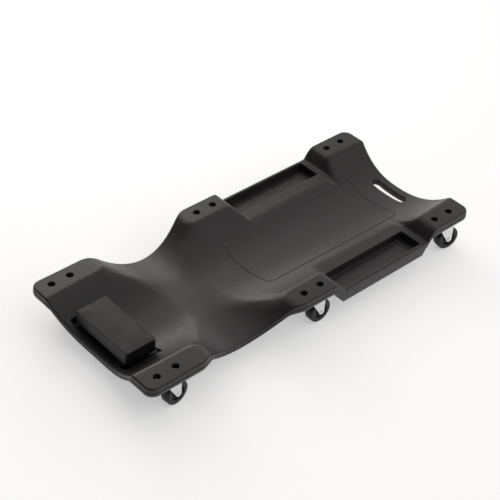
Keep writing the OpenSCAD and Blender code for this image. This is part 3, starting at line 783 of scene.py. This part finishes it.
def make_cushion():
    px, py = cushion_grid()
    gap = edge_gap(px, py, np.ones(px.shape, bool))
    drop = rounded(gap, CUSHION_EDGE)
    groove = SEAM_DEPTH * ease(1 - np.abs(gap - SEAM_IN) / SEAM_W)
    top = np.full(px.shape, REST_HIGH[2] - CUSHION_CROWN) - drop - groove
    wrap = ease((WRAP_T + WRAP_TURN - gap) / WRAP_TURN)
    low = mix(REST_LOW[2] + LOW_GAP, BACKING_LOW[2] + WRAP_GAP, wrap) + drop / 3
    verts, faces = two_skins(px + REST_X, py, top, low, CUSHION_RIM)
    ob = mesh_object("cushion", verts, faces, 60)
    swell(ob, (gap > SEAM_IN).ravel())
    dress(ob, VINYL, "board")
    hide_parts("headrest_cushion")


def swell(ob, loose):
    """Inflates the loose points as cloth, and scales what they moved to the cushion's crown."""
    before = np.zeros(len(ob.data.vertices) * 3)
    ob.data.vertices.foreach_get("co", before)
    held = ob.vertex_groups.new(name="held")
    free = set(np.flatnonzero(loose).tolist())
    held.add([i for i in range(len(ob.data.vertices)) if i not in free], 1.0, "REPLACE")
    cloth = ob.modifiers.new("cloth", "CLOTH")
    settings = cloth.settings
    settings.quality = 6
    settings.mass = 0.2
    settings.tension_stiffness = settings.compression_stiffness = 25
    settings.bending_stiffness = 2
    settings.vertex_group_mass = "held"
    settings.use_pressure = True
    settings.uniform_pressure_force = 4
    settings.effector_weights.gravity = 0
    cloth.point_cache.frame_start, cloth.point_cache.frame_end = 1, CLOTH_FRAMES
    for frame_number in range(1, CLOTH_FRAMES + 1):
        bpy.context.scene.frame_set(frame_number)
    graph = bpy.context.evaluated_depsgraph_get()
    mesh = ob.evaluated_get(graph).to_mesh()
    after = np.zeros(len(mesh.vertices) * 3)
    mesh.vertices.foreach_get("co", after)
    ob.evaluated_get(graph).to_mesh_clear()
    ob.modifiers.remove(cloth)
    ob.vertex_groups.remove(held)
    bpy.context.scene.frame_set(1)
    move = (after - before).reshape(-1, 3)
    crown = CUSHION_CROWN * MM
    share = crown / max(float(np.abs(move).max()), crown)
    ob.data.vertices.foreach_set("co", before + (move * share).ravel())
    ob.data.update()


def stadium(half, r, n=16):
    """A stadium along X round the origin, anticlockwise."""
    turns = np.linspace(-pi / 2, pi / 2, n)
    right = [(half + r * cos(t), r * sin(t)) for t in turns]
    return right + [(-x, -y) for x, y in right]


# A seat's wall from its foot: how far it spreads, and the share of its height
SEAT_WALL = [
    (6.0, -0.08), (4.5, 0.04), (2.6, 0.14), (1.4, 0.28),
    (0.9, 0.6), (0.5, 0.92), (0.1, 0.985), (-0.6, 1.0),
]


def headrest_seat(y):
    """A seat whose foot follows the bowl, and whose top meets the backing board."""
    verts, faces = [], []
    for spread, share in SEAT_WALL:
        outline = np.array(stadium(SEAT_HALF, SEAT_R + spread)) + (REST_X, y)
        ground = PAD_TOP + body_top(outline[:, 0], outline[:, 1])
        verts += np.column_stack([outline, mix(ground, BACKING_LOW[2], share)]).tolist()
    n = len(outline)
    for low in range(0, len(verts) - n, n):
        high = low + n
        faces += [[low + i, low + (i + 1) % n, high + (i + 1) % n, high + i] for i in range(n)]
    faces.append([len(verts) - n + i for i in range(n)])
    return verts, faces


make_cushion()
seats = joined([headrest_seat(s * SEAT_Y) for s in (-1, 1)])
dress(mesh_object("headrest_seats", *seats, sharp=50), PLASTIC, "board")


# Wheels: turned from half a profile, as (radius, height from the middle of the wheel)
WHEEL_LOW, WHEEL_HIGH = box_mm("wheel_mid_left")
WHEEL_R = (WHEEL_HIGH[2] - WHEEL_LOW[2]) / 2
WHEEL_W = (WHEEL_HIGH[1] - WHEEL_LOW[1]) / 2
BORE_R, HUB_R, WEB_R, WEB_IN, TREAD_R = 6.05, 10.0, 18.6, 5.0, 3.0
# Its rounds at the hub's edge and foot, and at the web's corner and the rim's edge
HUB_ROUND, FOOT_ROUND, WEB_ROUND, RIM_ROUND = 0.8, 1.0, 1.5, 0.9
BORE_CHAMFER, LINE_HALF, LINE_PROUD = 0.5, 0.5, 0.12


def corner_arc(r, z, radius, start, end, n=5):
    """An arc round (r, z), in degrees from the radius."""
    turns = [radians(t) for t in np.linspace(start, end, n)]
    return [(r + radius * cos(t), z + radius * sin(t)) for t in turns]


def wheel_profile():
    """From the bore's middle round the upper half to the tread's middle, then mirrored."""
    web = WHEEL_W - WEB_IN
    half = [(BORE_R, 0), (BORE_R, WHEEL_W - BORE_CHAMFER), (BORE_R + BORE_CHAMFER, WHEEL_W)]
    half += corner_arc(HUB_R - HUB_ROUND, WHEEL_W - HUB_ROUND, HUB_ROUND, 90, 0)
    half += corner_arc(HUB_R + FOOT_ROUND, web + FOOT_ROUND, FOOT_ROUND, 180, 270)
    half += corner_arc(WEB_R - WEB_ROUND, web + WEB_ROUND, WEB_ROUND, 270, 360)
    half += corner_arc(WEB_R + RIM_ROUND, WHEEL_W - RIM_ROUND, RIM_ROUND, 180, 90)
    half += corner_arc(WHEEL_R - TREAD_R, WHEEL_W - TREAD_R, TREAD_R, 90, 0, 9)
    half += [(WHEEL_R, LINE_HALF), (WHEEL_R + LINE_PROUD, LINE_HALF / 2)]
    return half + [(r, -z) for r, z in half[:0:-1]]


def make_wheel(corner):
    axis = Vector(joint("roll_" + corner)["axis"])
    turn = axis.to_track_quat("Z", "Y").to_matrix()
    part = moved(lathe(wheel_profile()[::-1], 96, closed=True), joint_mm("roll_" + corner), turn)
    ob = mesh_object("tyre_" + corner, *part, sharp=50)
    dress(ob, WHEEL, "roller_" + corner)
    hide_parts("wheel_" + corner)


for corner in CORNERS:
    make_wheel(corner)


# Pressed and headed steel, as copies of the CAD nodes with their sharp edges rounded.
# Pieces of a caster: node, whether it swivels, and how far its edges are rounded
CASTER_STEEL = [("fork_", True, 0.45), ("axle_rivet_", True, 0.3), ("plate_", False, 0.4)]
# Pieces of the board: node, rounding and material; the bolts, nuts and washers take the zinc with
# the painted highlight
BOARD_STEEL = [
    ("caster_bolts", 0.3, ZINC_PAINTED_GLINT), ("bolt_nuts", 0.35, ZINC_PAINTED_GLINT),
    ("bolt_washers", 0.25, ZINC_PAINTED_GLINT), ("king_pins", 0.4, ZINC),
]
# Points nearer than this, in metres, are one
SAME_POINT = 1e-6


def eased_copy(node, width, material, body):
    """A copy of a CAD node whose sharp edges are rounded by width millimetres."""
    mesh = bmesh.new()
    mesh.from_mesh(frame["nodes"][node].data)
    bmesh.ops.remove_doubles(mesh, verts=mesh.verts, dist=SAME_POINT)
    bmesh.ops.dissolve_limit(mesh, angle_limit=radians(1), verts=mesh.verts, edges=mesh.edges)
    sharp = [e for e in mesh.edges if len(e.link_faces) == 2 and e.calc_face_angle() > radians(40)]
    bmesh.ops.bevel(mesh, geom=sharp, offset=width * MM, offset_type="OFFSET", segments=2,
                    profile=0.5, affect="EDGES", clamp_overlap=True)
    data = bpy.data.meshes.new(node + "_eased")
    mesh.to_mesh(data)
    mesh.free()
    data.polygons.foreach_set("use_smooth", np.ones(len(data.polygons), bool))
    data.set_sharp_from_angle(angle=radians(50))
    ob = bpy.data.objects.new(node + "_eased", data)
    bpy.context.scene.collection.objects.link(ob)
    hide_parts(node)
    dress(ob, material, body)


for corner in CORNERS:
    for kind, swivels, width in CASTER_STEEL:
        eased_copy(kind + corner, width, ZINC, "caster_" + corner if swivels else "board")
for node, width, zinc in BOARD_STEEL:
    eased_copy(node, width, zinc, "board")


# CAD pieces that keep their shape
def finish_node(name, material):
    ob = frame["nodes"][name]
    ob.data.materials.clear()
    ob.data.materials.append(material)


for node in frame["nodes"]:
    finish_node(node, ZINC)
for corner in CORNERS:
    finish_node("wheel_" + corner, WHEEL)
finish_node("headrest_backing", BACKING)
finish_node("headrest_cushion", VINYL)
finish_node("deck", PLASTIC)


# Stage: a pale floor, soft lights and the photograph's camera
FLOOR_HALF = 14000
FLOOR_GLOW = 0.42
SKY_COLOUR = (1, 0.975, 0.965, 1)
# The sky's strength at two heights, and the share that is left of it past the head end
SKY_STRENGTH, SKY_HEIGHTS = (1.1, 0.72), (0.35, 0.58)
SKY_HEAD, SKY_SIDE = 0.15, (-0.45, 0.05)
# Lamps: name, place, aim, size, power and colour
LAMPS = [
    ("key", (0.68, 1.8, 1.2), (0, 0, 0.05), 1.1, 8, (1, 0.93, 0.89)),
]


def floor_material():
    m, tree, shader = new_material("floor")
    shader.inputs["Base Color"].default_value = (0.93, 0.93, 0.93, 1)
    shader.inputs["Roughness"].default_value = 0.8
    shader.inputs["Specular IOR Level"].default_value = 0.1
    ray = add(tree, "ShaderNodeLightPath")
    seen = ray.outputs["Is Camera Ray"]
    for kind in ("Is Glossy Ray", "Is Transmission Ray"):
        either = add(tree, "ShaderNodeMath", operation="MAXIMUM")
        tree.links.new(seen, either.inputs[0])
        tree.links.new(ray.outputs[kind], either.inputs[1])
        seen = either.outputs[0]
    strength = add(tree, "ShaderNodeMath", operation="MULTIPLY")
    tree.links.new(seen, strength.inputs[0])
    strength.inputs[1].default_value = FLOOR_GLOW
    shader.inputs["Emission Color"].default_value = (1, 1, 1, 1)
    tree.links.new(strength.outputs[0], shader.inputs["Emission Strength"])
    return m


def make_world():
    """A soft sky, brighter near the horizon and dim past the head end."""
    world = bpy.data.worlds.new("studio")
    world.use_nodes = True
    tree = world.node_tree
    sky = tree.nodes["Background"]
    sky.inputs["Color"].default_value = SKY_COLOUR
    way = add(tree, "ShaderNodeTexCoord")
    split = add(tree, "ShaderNodeSeparateXYZ")
    tree.links.new(way.outputs["Generated"], split.inputs[0])
    height = spread_of(tree, split.outputs["Z"], *SKY_STRENGTH, SKY_HEIGHTS)
    side = spread_of(tree, split.outputs["X"], SKY_HEAD, 1, SKY_SIDE)
    both = add(tree, "ShaderNodeMath", operation="MULTIPLY")
    tree.links.new(height, both.inputs[0])
    tree.links.new(side, both.inputs[1])
    tree.links.new(both.outputs[0], sky.inputs["Strength"])
    bpy.context.scene.world = world


def make_stage():
    signs = ((-1, -1), (1, -1), (1, 1), (-1, 1))
    corners = [(x * FLOOR_HALF, y * FLOOR_HALF, 0) for x, y in signs]
    floor = mesh_object("floor", corners, [[0, 1, 2, 3]])
    floor.data.materials.append(floor_material())
    make_world()
    for name, place, aim, size, power, colour in LAMPS:
        light = bpy.data.lights.new(name, "AREA")
        light.size, light.energy, light.color = size, power, colour
        ob = bpy.data.objects.new(name, light)
        ob.location = place
        ob.rotation_euler = (Vector(aim) - Vector(place)).to_track_quat("-Z", "Y").to_euler()
        bpy.context.scene.collection.objects.link(ob)


# Camera fitted to the wells and the outline. Its distance is in spacings of the end casters
IMAGE = 500
FOCAL_PX = 1365.6
AZIMUTH, ELEVATION, ROLL = radians(-44.06), radians(39.33), radians(3.67)
CENTRE_PX = (258.55, 246.04)
DISTANCE = 3.715


def make_camera():
    pitch = float(FOOT_X - HEAD_X) * MM
    target = Vector(((HEAD_X + FOOT_X) / 2 * MM, 0, PAD_TOP * MM))
    back = Vector((sin(AZIMUTH) * cos(ELEVATION), -cos(AZIMUTH) * cos(ELEVATION), sin(ELEVATION)))
    level = Vector((0, 0, 1)).cross(back).normalized()
    upright = back.cross(level)
    right = cos(ROLL) * level + sin(ROLL) * upright
    up = cos(ROLL) * upright - sin(ROLL) * level
    shift = (CENTRE_PX[0] - IMAGE / 2, IMAGE / 2 - CENTRE_PX[1])
    shift = [s / FOCAL_PX * DISTANCE for s in shift]
    place = target + (back * DISTANCE - right * shift[0] - up * shift[1]) * pitch
    data = bpy.data.cameras.new("camera")
    data.sensor_width = 36
    data.lens = FOCAL_PX / IMAGE * data.sensor_width
    ob = bpy.data.objects.new("camera", data)
    ob.matrix_world = Matrix((
        (right.x, up.x, back.x, place.x), (right.y, up.y, back.y, place.y),
        (right.z, up.z, back.z, place.z), (0, 0, 0, 1)))
    bpy.context.scene.collection.objects.link(ob)
    bpy.context.scene.camera = ob


make_stage()
make_camera()
bpy.context.scene.view_settings.view_transform = "Standard"
